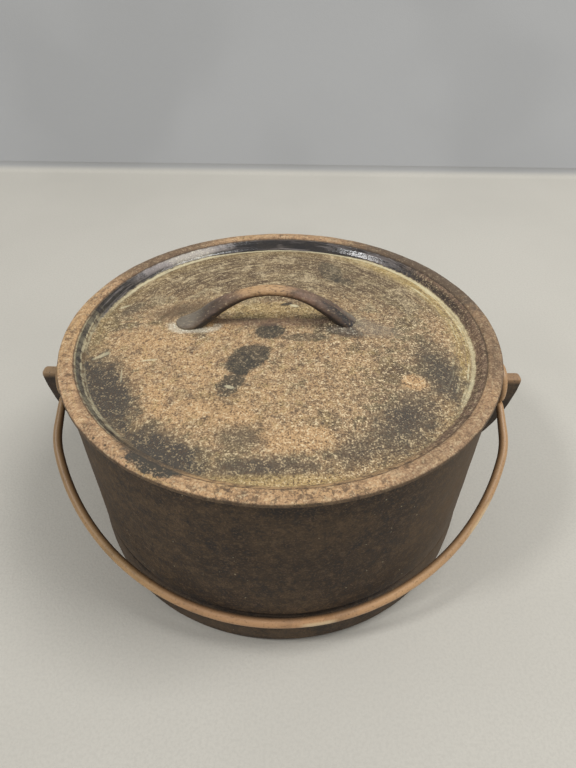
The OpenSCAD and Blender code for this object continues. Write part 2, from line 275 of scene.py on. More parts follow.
def sweep(path, radii, side_hint, sides):
    """Round tube along a path: each ring is the path's point plus its radius times two directions across the path.

    The first direction is the hint made square to the path, the second is their cross product. Both ends are closed.
    """
    along = np.gradient(path, axis=0)
    along /= np.linalg.norm(along, axis=1)[:, None]
    side = side_hint - (side_hint * along).sum(1)[:, None] * along
    side /= np.linalg.norm(side, axis=1)[:, None]
    up = np.cross(along, side)
    a = np.linspace(0, 2 * np.pi, sides, endpoint=False)[None, :, None]
    rings = path[:, None] + radii[:, None, None] * (np.cos(a) * side[:, None] + np.sin(a) * up[:, None])
    count = len(path)
    j = np.arange(sides)
    last = (count - 1) * sides
    fans = np.vstack([
        np.column_stack([np.full(sides, count * sides), (j + 1) % sides, j]),
        np.column_stack([last + j, last + (j + 1) % sides, np.full(sides, count * sides + 1)]),
    ])
    points = np.vstack([rings.reshape(-1, 3), path[:1], path[-1:]])
    return points, grid_quads(count, sides, close_columns=True), fans


def wear(piece, depth, seed, keep=None):
    """Sinks the surface along its normals by up to depth, in soft uneven waves of three sizes.

    keep gives, for an array of points, the share of the wear that each one takes.
    """
    mesh = piece.data
    co = np.zeros(len(mesh.vertices) * 3)
    normals = np.zeros(len(mesh.vertices) * 3)
    mesh.vertices.foreach_get("co", co)
    mesh.vertices.foreach_get("normal", normals)
    co, normals = co.reshape(-1, 3), normals.reshape(-1, 3)
    waves = (0.5 * ripples(co, 55 * MM, seed) + 0.3 * ripples(co, 17 * MM, seed + 1)
             + 0.2 * ripples(co, 6 * MM, seed + 2))
    sink = depth * np.clip(0.5 + 0.5 * waves, 0, 1)
    if keep is not None:
        sink = sink * keep(co)
    mesh.vertices.foreach_set("co", (co - sink[:, None] * normals).ravel())
    mesh.update()


# The pot


def wall_radius(pot, z):
    """Outer radius of the wall, on a straight line from the waist to the mouth."""
    return mix(pot.waist, pot.mouth, (z - pot.crease_high) / (pot.height - pot.crease_high))


def pot_profile(pot):
    """Profile of the pot: bottom, foot corner, swelling band, crease, wall, rim, inner wall, inner corner, bottom."""
    band_end = pot.band - 0.7 * MM
    middle = (pot.foot_corner + pot.crease_low) / 2
    half = (pot.crease_low - pot.foot_corner) / 2
    z_band = np.linspace(pot.foot_corner, pot.crease_low, 14)
    band = np.column_stack([pot.band - 0.7 * MM * ((z_band - middle) / half) ** 2, z_band])
    t = np.linspace(0, 1, 15)
    hollow = pot.waist - pot.crease_depth
    crease = np.column_stack([
        np.where(t < 0.4, mix(band_end, hollow, ease(t / 0.4)), mix(hollow, pot.waist, ease((t - 0.4) / 0.6))),
        mix(pot.crease_low, pot.crease_high, t),
    ])
    round_over = 1.1 * MM
    inner_mouth = pot.mouth - pot.wall_rim
    inner_foot = pot.waist - pot.wall_foot
    corner = pot.inner_corner
    top = pot.height - round_over
    return outline(
        stretch([0, 0], [band_end - pot.foot_corner, 0], 5 * MM),
        arc(band_end - pot.foot_corner, pot.foot_corner, pot.foot_corner, -90, 0, 14),
        band,
        crease,
        stretch([pot.waist, pot.crease_high], [pot.mouth, top], 2 * MM),
        arc(pot.mouth - round_over, top, round_over, 0, 90, 6),
        arc(inner_mouth + round_over, top, round_over, 90, 180, 6),
        stretch([inner_mouth, top], [inner_foot, pot.base + corner], 2.5 * MM),
        arc(inner_foot - corner, pot.base + corner, corner, 0, -90, 14),
        stretch([inner_foot - corner, pot.base], [0, pot.base], 5 * MM),
    )


class POT_OT_body(bpy.types.Operator):
    """Turn the pot's wall, foot band and bottom"""
    bl_idname = "pot.body"
    bl_label = "Pot body"

    def execute(self, context):
        pot = context.scene.pot_sizes
        body = add_piece("pot_body", *lathe(pot_profile(pot), 384))
        wear(body, 0.3 * MM, 11, lambda p: ease(p[:, 2] / (8 * MM)) * ease((pot.height - 3 * MM - p[:, 2]) / (9 * MM)))
        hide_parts("pot")
        body.data.materials.append(wall_iron(context.scene.pot_colours))
        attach(body, "pot")
        return {"FINISHED"}


def ear_outline(pot, steps):
    """Closed outline of an ear in X and Z: flat top, round nose, bowed outer edge, and a root inside the wall."""
    nose = 2.5 * MM
    root = np.array([wall_radius(pot, pot.ear_foot), pot.ear_foot])
    start = np.array([pot.ear_tip, pot.ear_top - nose])
    span = root - start
    out = np.array([-span[1], span[0]]) / np.linalg.norm(span)
    t = np.linspace(0, 13 / 12, 40)[:, None]
    edge = start + span * t + out * pot.ear_bow * np.sin(np.pi * t)
    buried = wall_radius(pot, pot.ear_foot) - 1.5 * MM
    points = outline(
        stretch([buried, pot.ear_top], [pot.ear_tip - nose, pot.ear_top], 1 * MM),
        arc(pot.ear_tip - nose, pot.ear_top - nose, nose, 90, 0, 8),
        edge[edge[:, 0] > buried],
        stretch([buried, pot.ear_foot - 2 * MM], [buried, pot.ear_top], 1 * MM),
    )
    reach = np.concatenate([[0], np.cumsum(np.linalg.norm(np.diff(points, axis=0), axis=1))])
    even = np.linspace(0, reach[-1], steps, endpoint=False)
    return np.column_stack([np.interp(even, reach, points[:, k]) for k in (0, 1)])


def ear_points(pot, steps=192):
    """Grid of an ear: rings that run from the hole's wall over the front face, round the edge and over the back face.

    Across the ear each ring lies between the hole's circle and the outline. Along Y it follows the half thickness,
    which swells in a fillet at the wall, narrows round the nose and rounds off at the edge.
    """
    rim = ear_outline(pot, steps)
    centre = np.array([pot.ear_hole_x, pot.ear_hole_z])
    bearing = np.arctan2(rim[:, 1] - centre[1], rim[:, 0] - centre[0])
    hole = centre + pot.ear_hole * np.column_stack([np.cos(bearing), np.sin(bearing)])
    inward = centre - rim
    inward /= np.linalg.norm(inward, axis=1)[:, None]
    soft = 1.4 * MM
    lip = 0.6 * MM
    rows, drops = [], []
    for a in np.radians(np.linspace(0, 90, 5)):
        rows.append(hole + inward * lip * (1 - math.sin(a)) * -1)
        drops.append(lip * (1 - math.sin(a)))
    face_end = rim + inward * soft
    for t in np.linspace(0, 1, 16)[1:]:
        rows.append(mix(hole, face_end, t))
        drops.append(0)
    for a in np.radians(np.linspace(0, 90, 7))[1:]:
        rows.append(rim + inward * soft * (1 - math.sin(a)))
        drops.append(soft * (1 - math.cos(a)))
    rows, drops = np.array(rows), np.array(drops)[:, None]
    half = ear_half_width(pot, rows[..., 0], rows[..., 1]) - drops
    front = np.stack([rows[..., 0], -half, rows[..., 1]], -1)
    back = np.stack([rows[..., 0], half, rows[..., 1]], -1)
    return np.vstack([front, back[::-1]])


def ear_half_width(pot, x, z):
    """Half thickness of an ear: a quarter-round fillet at the wall, flat, and a rounded corner at the tip."""
    half = pot.ear_thickness / 2
    fillet = 3 * MM
    away = np.clip(x - wall_radius(pot, z), 0, fillet)
    swell = fillet - np.sqrt(np.maximum(fillet ** 2 - (fillet - away) ** 2, 0))
    corner = pot.ear_corner
    to_tip = np.clip(x - (pot.ear_tip - corner), 0, corner)
    return half - corner + np.sqrt(corner ** 2 - to_tip ** 2) + swell


class POT_OT_ears(bpy.types.Operator):
    """Shape the two ears that the bail hangs in"""
    bl_idname = "pot.ears"
    bl_label = "Pot ears"

    def execute(self, context):
        pot = context.scene.pot_sizes
        grid = ear_points(pot)
        rows, columns = grid.shape[:2]
        quads = grid_quads(rows, columns, close_rows=True, close_columns=True)
        iron = ear_iron(context.scene.pot_colours)
        for name, side in (("ear_right", 1), ("ear_left", -1)):
            points = grid.reshape(-1, 3) * [side, 1, 1]
            ear = add_piece(name, points, quads[:, ::side])
            wear(ear, 0.25 * MM, 31 + side)
            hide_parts("pot")
            ear.data.materials.append(iron)
            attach(ear, "pot")
        return {"FINISHED"}


# The lid


def plate_height(lid, r):
    """Height of the plate's top: a shallow spherical dome that is lowest at the plate's edge."""
    ball = (lid.plate ** 2 + lid.dome ** 2) / (2 * lid.dome)
    low = lid.seat + lid.edge - lid.drop
    return low + np.sqrt(ball ** 2 - np.minimum(r, lid.plate) ** 2) - (ball - lid.dome)


def lid_profile(lid):
    """Profile of the lid: underside of the plate, dish, seat, edge, crowned rim, slope and top of the plate."""
    top = lid.seat + lid.edge
    round_over = 1.2 * MM
    r = np.linspace(0, lid.plate, 64)
    plate = np.column_stack([r, plate_height(lid, r)])
    t = np.linspace(0, 1, 16)
    slope = np.column_stack([
        mix(lid.plate, lid.rim_inner, t), mix(plate[-1, 1], top - round_over / 2, ease(t))])
    under = np.column_stack([
        mix(lid.dish, lid.plate - lid.thickness / 2, t), mix(lid.seat, plate[-1, 1] - lid.thickness, ease(t))])
    s = np.linspace(0, 1, 14)[1:]
    crown = np.column_stack([
        mix(lid.rim_inner, lid.radius - round_over, s), top + lid.crown * np.sin(np.pi * s)])
    return outline(
        plate[plate[:, 0] < lid.plate - lid.thickness] - [0, lid.thickness],
        under[::-1],
        arc(lid.radius - round_over / 2, lid.seat + round_over / 2, round_over / 2, -90, 0, 4),
        arc(lid.radius - round_over, top - round_over, round_over, 0, 90, 6),
        crown[::-1],
        slope[::-1],
        plate[::-1],
    )


def on_handle(lid, points):
    """Turns points on the lid into the handle's own directions, along it and across it."""
    x, y = points[:, 0] - lid.handle_x, points[:, 1] - lid.handle_y
    c, s = math.cos(lid.handle_turn), math.sin(lid.handle_turn)
    return x * c + y * s, y * c - x * s


def plate_relief(lid, points):
    """Height that the plate gains round the handle: a low rib under the arch and a soft swelling round each foot.

    The swelling falls as e to the power of minus the distance squared. The left one lies behind its foot.
    """
    along, across = on_handle(lid, points)
    rib = ease((3.9 * MM - np.abs(across + 0.9 * MM)) / (0.9 * MM)) * ease((lid.span / 2 - np.abs(along)) / (2 * MM))
    root, tip = lid.span / 2 - 3 * MM, lid.span / 2 + 9 * MM
    behind = np.where(along < 0, 3.5 * MM, 0)
    gone = np.hypot(np.abs(along) - np.clip(np.abs(along), root, tip), across - behind)
    swelling = np.exp(-(np.maximum(gone - 4.5 * MM, 0) / (4.2 * MM)) ** 2)
    return 0.9 * MM * rib + np.where(along < 0, 2 * MM, 2.6 * MM) * swelling


class POT_OT_lid(bpy.types.Operator):
    """Turn the lid and raise the rib and the handle's roots on it"""
    bl_idname = "pot.lid"
    bl_label = "Lid"

    def execute(self, context):
        lid = context.scene.lid_sizes
        points, quads, fans = lathe(lid_profile(lid), 512)
        on_top = points[:, 2] > plate_height(lid, np.hypot(points[:, 0], points[:, 1])) - MM
        points[:, 2] += np.where(on_top, plate_relief(lid, points), 0)
        plate = add_piece("lid_plate", points, quads, fans)
        low = lid.seat + lid.edge - lid.drop - lid.thickness / 2
        wear(plate, 0.35 * MM, 51, lambda p: ease((p[:, 2] - low) / (2 * MM)) * (p[:, 2] > lid.seat + 0.9 * MM) +
             0.3 * (np.hypot(p[:, 0], p[:, 1]) < lid.plate - 4 * MM))
        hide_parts("lid")
        plate.data.materials.append(lid_iron(context.scene.pot_colours))
        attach(plate, "lid")
        return {"FINISHED"}


def handle_grid(lid, rings, sides):
    """Grid of the handle: rounded sections along a parabola that flattens into a foot at each end.

    Between the roots the height is rise times (1 - (x / half span) squared). From there to the tip it is a curve
    that starts with the arch's slope and ends level, a little below the plate.
    """
    half = lid.span / 2
    stop = half - 5 * MM
    s = np.sin(np.linspace(-np.pi / 2, np.pi / 2, rings))
    end = half + np.where(s > 0, lid.foot_run_right, lid.foot_run)
    x = end * s
    d = np.abs(x)
    arch = lid.rise * (1 - (d / half) ** 2)
    t = np.clip((d - stop) / (end - stop), 0, 1)
    stop_z, stop_slope = lid.rise * (1 - (stop / half) ** 2), -2 * lid.rise * stop / half ** 2
    foot = (stop_z * (2 * t ** 3 - 3 * t ** 2 + 1) + stop_slope * (end - stop) * (t ** 3 - 2 * t ** 2 + t)
            - 1.4 * MM * (3 * t ** 2 - 2 * t ** 3))
    z = np.where(d <= stop, arch, foot)
    root = ease((d - half * 0.25) / (half * 0.75))
    nose = np.clip((d - end) / (0.6 * lid.foot_width) + 1, 0, 1)
    width = mix(lid.grip_width, lid.foot_width, root) / 2 * np.sqrt(1 - 0.95 * nose ** 2)
    thick = mix(mix(lid.grip_thickness, lid.root_thickness, root) / 2, 1.3 * MM, t ** 2)
    tilt = np.arctan2(np.gradient(z), np.gradient(x))
    a = np.linspace(0, 2 * np.pi, sides, endpoint=False)
    lift = thick[:, None] * np.sin(a)
    return np.stack([
        x[:, None] - lift * np.sin(tilt)[:, None], width[:, None] * np.cos(a), z[:, None] + lift * np.cos(tilt)[:, None],
    ], -1)


class POT_OT_handle(bpy.types.Operator):
    """Loft the lid's arched handle"""
    bl_idname = "pot.handle"
    bl_label = "Lid handle"

    def execute(self, context):
        lid = context.scene.lid_sizes
        grid = handle_grid(lid, 220, 64)
        rings, sides = grid.shape[:2]
        c, s = math.cos(lid.handle_turn), math.sin(lid.handle_turn)
        turn = np.array([[c, s, 0], [-s, c, 0], [0, 0, 1]])
        middle = math.hypot(lid.handle_x, lid.handle_y)
        place = np.array([lid.handle_x, lid.handle_y, float(plate_height(lid, middle))])
        ends = np.array([grid[0].mean(0), grid[-1].mean(0)])
        points = np.vstack([grid.reshape(-1, 3), ends]) @ turn + place
        j = np.arange(sides)
        last = (rings - 1) * sides
        fans = np.vstack([
            np.column_stack([np.full(sides, rings * sides), (j + 1) % sides, j]),
            np.column_stack([last + j, last + (j + 1) % sides, np.full(sides, rings * sides + 1)]),
        ])
        handle = add_piece("lid_handle", points, grid_quads(rings, sides, close_columns=True), fans)
        wear(handle, 0.45 * MM, 71)
        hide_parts("lid")
        handle.data.materials.append(handle_iron(context.scene.pot_colours))
        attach(handle, "lid")
        return {"FINISHED"}


# The bail


def bail_half(bail):
    """Middle line of half of the bail as it would hang straight down, from the middle of the bow to the cut end.

    The runs are arcs of circles that meet on a common tangent: bow, shoulder, straight leg, neck and eye. Returns
    the points, the wire's radius at each and a direction across the wire at each.
    """
    neck_drop = math.sqrt(bail.eye ** 2 + 2 * bail.eye * bail.neck)
    shoulder_drop = neck_drop + bail.leg
    inset = bail.eye_x - bail.shoulder
    rest = bail.reach - bail.shoulder - shoulder_drop
    bow = bail.shoulder + (inset ** 2 + rest ** 2) / (2 * rest)
    bend = math.degrees(math.acos(inset / (bow - bail.shoulder)))
    turn = math.degrees(math.acos(bail.neck / (bail.eye + bail.neck)))
    gap = math.degrees(bail.gap)
    upright = [
        arc(0, -(bail.reach - bow), bow, -90, -bend, 160),
        arc(inset, -shoulder_drop, bail.shoulder, -bend, 0, 14),
        stretch([bail.eye_x, -shoulder_drop], [bail.eye_x, -neck_drop], 0.5 * MM),
    ]
    flat = [
        arc(bail.neck, -neck_drop, bail.neck, 180, 180 - turn, 16),
        arc(0, 0, bail.eye, -turn, -turn + 360 - (90 - turn) - gap, 96),
    ]
    front = np.vstack([np.column_stack([p[:, 0], np.zeros(len(p)), p[:, 1]]) for p in upright])
    side = np.vstack([np.column_stack([np.full(len(p), bail.eye_x), p[:, 0], p[:, 1]]) for p in flat])
    path = outline(front, side)
    z = path[:, 2]
    in_leg = np.clip((z + shoulder_drop) / bail.leg, 0, 1)
    turned = np.where(np.arange(len(path)) < len(front) - 1, in_leg, 1.0)
    radii = mix(bail.wire, bail.eye_wire, turned)
    angle = turned * np.pi / 2
    hint = np.column_stack([np.sin(angle), np.cos(angle), np.zeros(len(path))])
    return path, radii, hint


class POT_OT_bail(bpy.types.Operator):
    """Bend the bail's wire, with an eye at each end"""
    bl_idname = "pot.bail"
    bl_label = "Bail"

    def execute(self, context):
        bail = context.scene.bail_sizes
        path, radii, hint = bail_half(bail)
        mirror = np.array([-1, 1, 1])
        path = np.vstack([path[::-1] * mirror, path[1:]])
        radii = np.concatenate([radii[::-1], radii[1:]])
        hint = np.vstack([hint[::-1] * mirror, hint[1:]])
        radii[[0, -1]] *= 0.8
        sides = 32
        points, quads, fans = sweep(path, radii, hint, sides)
        # How far each point lies towards the inside of the bow, from -1 to 1, for the painted shade there and the
        # painted highlights on the outside
        ring = np.concatenate([np.repeat(np.arange(len(path)), sides), [0, len(path) - 1]])
        inward = [0, 0, -0.4 * bail.reach] - path[ring]
        inner = ((points - path[ring]) * inward).sum(1) / np.linalg.norm(inward, axis=1) / radii[ring]
        a = bail.lean - math.pi / 2
        c, s = math.cos(a), math.sin(a)
        points = points @ np.array([[1, 0, 0], [0, c, s], [0, -s, c]]) + [0, 0, EYE_HEIGHT]
        wire = add_piece("bail_wire", points, quads, fans)
        wire.data.attributes.new("inner_side", "FLOAT", "POINT").data.foreach_set("value", inner.astype(np.float32))
        wear(wire, 0.12 * MM, 91)
        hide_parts("bail")
        wire.data.materials.append(bail_steel(context.scene.pot_colours))
        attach(wire, "bail")
        return {"FINISHED"}


# Materials


class Tone:
    """A value in a material. Arithmetic on it adds Math nodes."""

    def __init__(self, finish, socket):
        self.finish, self.socket = finish, socket

    def maths(self, operation, *values):
        made = self.finish.node("ShaderNodeMath", {"operation": operation}, dict(enumerate(values)))
        return Tone(self.finish, made.outputs[0])

    def __add__(self, other): return self.maths("ADD", self, other)
    def __radd__(self, other): return self.maths("ADD", other, self)
    def __sub__(self, other): return self.maths("SUBTRACT", self, other)
    def __rsub__(self, other): return self.maths("SUBTRACT", other, self)
    def __mul__(self, other): return self.maths("MULTIPLY", self, other)
    def __rmul__(self, other): return self.maths("MULTIPLY", other, self)
    def __truediv__(self, other): return self.maths("DIVIDE", self, other)
    def __pow__(self, other): return self.maths("POWER", self, other)

    def root(self): return self.maths("SQRT", self)

    def step(self, low, high):
        """Smooth step from 0 at low to 1 at high. With low above high it falls instead."""
        turned = low > high
        settings = {"interpolation_type": "SMOOTHSTEP"}
        values = {"Value": self, "From Min": min(low, high), "From Max": max(low, high),
                  "To Min": float(turned), "To Max": float(not turned)}
        return Tone(self.finish, self.finish.node("ShaderNodeMapRange", settings, values).outputs[0])


class Finish:
    """One material, with its nodes and its place coordinates in millimetres."""

    def __init__(self, name, turn=0.0):
        self.material = bpy.data.materials.new(name)
        self.material.use_nodes = True
        self.tree = self.material.node_tree
        self.tree.nodes.clear()
        self.surface = self.node("ShaderNodeBsdfPrincipled")
        output = self.node("ShaderNodeOutputMaterial")
        self.tree.links.new(self.surface.outputs[0], output.inputs["Surface"])
        place = self.node("ShaderNodeTexCoord").outputs["Object"]
        mapping = self.node("ShaderNodeMapping", {}, {"Scale": (1000, 1000, 1000), "Rotation": (0, 0, turn)})
        self.tree.links.new(place, mapping.inputs["Vector"])
        self.place = mapping.outputs[0]
        parts = self.node("ShaderNodeSeparateXYZ")
        self.tree.links.new(self.place, parts.inputs[0])
        self.x, self.y, self.z = (Tone(self, s) for s in parts.outputs)

    def node(self, kind, settings=None, values=None):
        """Adds a node. Settings are its own properties or a ramp's stops, values are its sockets' values or links."""
        made = self.tree.nodes.new(kind)
        for key, value in (settings or {}).items():
            if key == "stops":
                ramp = made.color_ramp
                while len(ramp.elements) < len(value):
                    ramp.elements.new(1)
                for element, (position, shade) in zip(ramp.elements, value):
                    element.position, element.color = position, (*shade, 1)
            else:
                setattr(made, key, value)
        for key, value in (values or {}).items():
            socket = made.inputs[key]
            if isinstance(value, Tone):
                self.tree.links.new(value.socket, socket)
            elif isinstance(value, bpy.types.NodeSocket):
                self.tree.links.new(value, socket)
            else:
                socket.default_value = value
        return made

    def noise(self, size, detail=3.0, rough=0.55, place=None, warp=0.0):
        """Cloudy pattern from 0 to 1 with features of about the given size in millimetres."""
        values = {"Vector": place or self.place, "Scale": 1 / size, "Detail": detail, "Roughness": rough,
                  "Distortion": warp}
        return Tone(self, self.node("ShaderNodeTexNoise", {}, values).outputs[0])

    def cells(self, size, place=None):
        """Distance to the nearest of many scattered points, which lie about the given size apart."""
        values = {"Vector": place or self.place, "Scale": 1 / size}
        return Tone(self, self.node("ShaderNodeTexVoronoi", {}, values).outputs["Distance"])

    def vector(self, x, y, z):
        """Vector made of three values."""
        return self.node("ShaderNodeCombineXYZ", {}, {"X": x, "Y": y, "Z": z}).outputs[0]

    def ramp(self, value, stops):
        """Colour from a ramp of (position, colour) stops."""
        return self.node("ShaderNodeValToRGB", {"stops": stops}, {"Fac": value}).outputs[0]

    def blend(self, a, b, factor):
        """Colour between a and b."""
        sockets = {0: factor, 6: a if isinstance(a, bpy.types.NodeSocket) else (*a, 1),
                   7: b if isinstance(b, bpy.types.NodeSocket) else (*b, 1)}
        return self.node("ShaderNodeMix", {"data_type": "RGBA"}, sockets).outputs[2]

    def spot(self, x, y, half_length, half_width, turn, ragged, soft=0.25):
        """Mask of an oval patch: 1 inside, 0 outside, with an edge that the ragged tone pushes in and out."""
        c, s = math.cos(math.radians(turn)), math.sin(math.radians(turn))
        dx, dy = self.x - x, self.y - y
        u = (dx * c + dy * s) / half_length
        v = (dy * c - dx * s) / half_width
        away = (u * u + v * v).root() + ragged
        return away.step(1 + soft, 1 - soft)

    def finish(self, shade, roughness, height, depth, specular=0.5):
        """Connects colour, roughness and relief, whose depth is in millimetres."""
        link = self.tree.links.new
        link(shade, self.surface.inputs["Base Color"])
        link(roughness.socket, self.surface.inputs["Roughness"])
        self.surface.inputs["Specular IOR Level"].default_value = specular
        bump = self.node("ShaderNodeBump", {}, {"Height": height, "Distance": depth * MM, "Strength": 1.0})
        link(bump.outputs[0], self.surface.inputs["Normal"])
        return self.material


def strongest(tones):
    """The largest of several tones."""
    best = tones[0]
    for tone in tones[1:]:
        best = best.maths("MAXIMUM", best, tone)
    return best


def wall_iron(colours):
    """Dark seasoned iron of the wall: brown clouds, fine rusty speckle, pale flecks, painted shade in the crease and
    painted light towards the sides.
    """
    f = Finish("wall_iron")
    clouds = f.noise(34, 4, 0.6)
    mottle = f.noise(4.5, 4, 0.7)
    grain = f.noise(1.2, 2, 0.6)
    fine = f.noise(0.8, 0, 0.5)
    smears = f.noise(11, 4, 0.65, f.vector(f.x, f.y, f.z * 1.8))
    # The bloom grows a little towards the left, which also paints light on that side
    bloom = (clouds * 0.55 + smears * 0.45 - f.x * 0.0004).step(0.42, 0.62)
    shade = f.blend(colours.wall, colours.wall_light, bloom * 0.5)
    shade = f.blend(shade, colours.black, f.noise(15, 5, 0.7).step(0.52, 0.68) * 0.6)
    shade = f.blend(shade, colours.wall_light, mottle.step(0.52, 0.66) * 0.55)
    shade = f.blend(shade, colours.black, mottle.step(0.47, 0.34) * 0.5)
    shade = f.blend(shade, colours.wall_light, grain.step(0.53, 0.68) * 0.7)
    shade = f.blend(shade, colours.black, grain.step(0.47, 0.32) * 0.65)
    shade = f.blend(shade, colours.grip, fine.step(0.62, 0.76) * smears.step(0.5, 0.6) * 0.4)
    specks = f.cells(7).step(0.075, 0.04) * smears.step(0.46, 0.56)
    shade = f.blend(shade, colours.cream, specks * 0.5)
    band = f.z.step(33, 29) * f.noise(14, 4, 0.6).step(0.38, 0.6)
    shade = f.blend(shade, colours.rim_brown, band * 0.35)
    # Painted shade: a dark line where the crease lies
    crease = f.z.step(28.5, 30.5) * f.z.step(34.5, 32)
    shade = f.blend(shade, colours.black, crease * 0.4)
    # Painted light: the wall is lighter and greyer towards both sides
    sides = strongest([f.x.step(56, 108) * 0.6, f.x.step(-84, -120) * 0.3])
    shade = f.blend(shade, colours.wall_light, sides * (0.6 + mottle * 0.8))
    relief = grain * 0.6 + fine * 0.25 + clouds * 1.2
    return f.finish(shade, 0.5 + grain * 0.3 + bloom * 0.1, relief, 0.3, 0.25)


def ear_iron(colours):
    """Iron of the ears: rusty on the worn top and edge, with painted light making the top lighter still, dark on the
    faces.
    """
    f = Finish("ear_iron")
    grain = f.noise(1.4, 3, 0.6)
    clouds = f.noise(12, 4, 0.6)
    # The top is rust from wear and also painted light from above
    worn_and_lit = f.z.step(101, 105.5)
    shade = f.blend(colours.wall, colours.umber, clouds.step(0.4, 0.65))
    shade = f.blend(shade, colours.rim_tan, worn_and_lit * (0.55 + clouds * 0.5))
    shade = f.blend(shade, colours.olive, worn_and_lit * f.x.step(0, -10) * 0.4)
    shade = f.blend(shade, colours.black, grain.step(0.45, 0.3) * 0.6)
    return f.finish(shade, 0.5 + grain * 0.3, grain * 0.7 + clouds, 0.4)


# Marks on the lid: place, half length, half width and turn, in millimetres and degrees, and how strong.
# Dark stains with a clear edge
STAINS = (
    (-18.5, -28.5, 15, 9.8, 50, 0.95),
    (-6.8, -2.5, 9.4, 7.2, 0, 0.95),
    (33, 76, 17, 8, 105, 0.55),
)
# Broken tails of the stains
TAILS = (
    (-26, -49, 11, 6, 62, 0.85),
    (14, -8, 15, 3.5, 4, 0.6),
    (41, 63, 10, 5, 140, 0.6),
)
# Sooty zones near the plate's edge, with soft edges
ZONES = (
    (-97, -54, 36, 15, 116, 1.0),
    (-58, -96, 26, 12, 147, 0.95),
    (-8, -105.5, 31, 6.5, 3, 0.64),
    (42, -93, 20, 10, 25, 0.5),
    (66, -74, 32, 14, 50, 0.68),
    (92, -34, 28, 13, 98, 0.7),
    (-18, -87, 15, 7.5, 172, 0.5),
    (-99, 26, 12, 7, 60, 0.5),
)
# Bright rust
WARM = (
    (-26, -68, 46, 22, 170, 0.6),
    (-62, -34, 34, 26, 100, 0.4),
    (28, -26, 34, 14, 165, 0.35),
)
# Bare patches of rust with a clear edge
BARE = (
    (75, -43.5, 7.5, 6, 0, 0.95),
    (12, -88, 19, 8.5, 4, 0.85),
    (-31, -70, 20, 6, 165, 0.6),
)
# Darker lengths of the rim
RIM_SHADES = (
    (106, 80, 78, 38, 127, 1.0),
    (-88, 94, 46, 16, 45, 0.75),
    (124, -14, 46, 18, 95, 0.6),
    (92, -92, 46, 14, 45, 0.35),
)
# Pale scratches
SCRATCHES = (
    (-103.5, 31.5, 5, 0.9, 25, 0.6),
    (-105.5, -21, 5, 1.4, 32, 0.5),
    (-76, -28, 5.5, 0.7, 6, 0.6),
    (-89, -40, 6, 0.5, 100, 0.4),
    (-27, -52, 3.5, 1.1, 160, 0.6),
    (8, 26.5, 3, 1.6, 160, 0.8),
)


def marks(f, table, ragged, soft):
    """Mask of all the marks in a table."""
    return strongest([f.spot(*mark[:5], ragged, soft) * mark[5] for mark in table])


